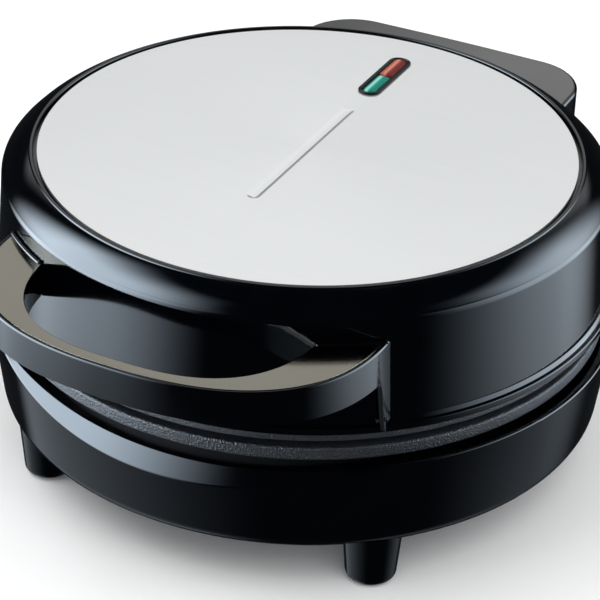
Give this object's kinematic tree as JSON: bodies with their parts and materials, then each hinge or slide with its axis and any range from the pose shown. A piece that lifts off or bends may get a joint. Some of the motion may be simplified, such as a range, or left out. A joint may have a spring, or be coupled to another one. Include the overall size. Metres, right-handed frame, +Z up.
{
  "type": "mini doughnut maker",
  "caption": "Round countertop cooker for small ring doughnuts: hinged lid with a loop handle and steel top panel, ring mould plates inside, and a footed base.",
  "frame": {"origin": "centre of the bounding box at table height, under the feet", "axes": "+Z up; -Y towards the handle at the front; +Y towards the hinge; +X to the right of a person at the handle"},
  "size_m": [0.2248, 0.2724, 0.1158],
  "materials": {
    "gloss_black": "moulded, high gloss black",
    "satin_grey": "fine satin, warm dark grey",
    "brushed_steel": "bright, finely brushed",
    "coated_plate": "cast, dark non-stick coating with a fine grain",
    "bare_steel": "plain zinc-plated steel",
    "black_rubber": "soft, matt black",
    "ceramic": "off-white ceramic",
    "lens_green": "clear-coloured green, polished",
    "lens_red": "clear-coloured red, polished",
    "lamp_glass": "clear glass"
  },
  "bodies": {
    "base": {"base_shell": "gloss_black", "lower_plate": "coated_plate", "lower_element": "bare_steel", "lower_reflector": "bare_steel", "thermostat": "bare_steel", "thermal_fuse": "ceramic", "terminal_block": "ceramic", "cord_gland": "black_rubber", "foot_pad_front_left": "black_rubber", "foot_pad_front_right": "black_rubber", "foot_pad_rear_left": "black_rubber", "foot_pad_rear_right": "black_rubber", "lower_plate_screw_front_left": "bare_steel", "lower_plate_screw_front_right": "bare_steel", "lower_plate_screw_rear_left": "bare_steel", "lower_plate_screw_rear_right": "bare_steel"},
    "lid": {"lid_shell": "gloss_black", "lid_panel": "brushed_steel", "handle": "gloss_black", "handle_cover": "satin_grey", "upper_plate": "coated_plate", "upper_element": "bare_steel", "upper_reflector": "bare_steel", "lamp_bezel": "gloss_black", "lamp_lens_green": "lens_green", "lamp_lens_red": "lens_red", "lamp_holder": "gloss_black", "lamp_green": "lamp_glass", "lamp_red": "lamp_glass", "upper_plate_screw_front_left": "bare_steel", "upper_plate_screw_front_right": "bare_steel", "upper_plate_screw_rear_left": "bare_steel", "upper_plate_screw_rear_right": "bare_steel", "handle_screw_left": "bare_steel", "handle_screw_right": "bare_steel", "hinge_pin_left": "bare_steel", "hinge_pin_right": "bare_steel"}
  },
  "joints": [
    {"name": "lid_hinge", "type": "hinge", "parent": "base", "child": "lid", "pos_m": [0, 0.1203, 0.06263], "axis": [-1, 0, 0], "range_deg": [0, 100]}
  ]
}
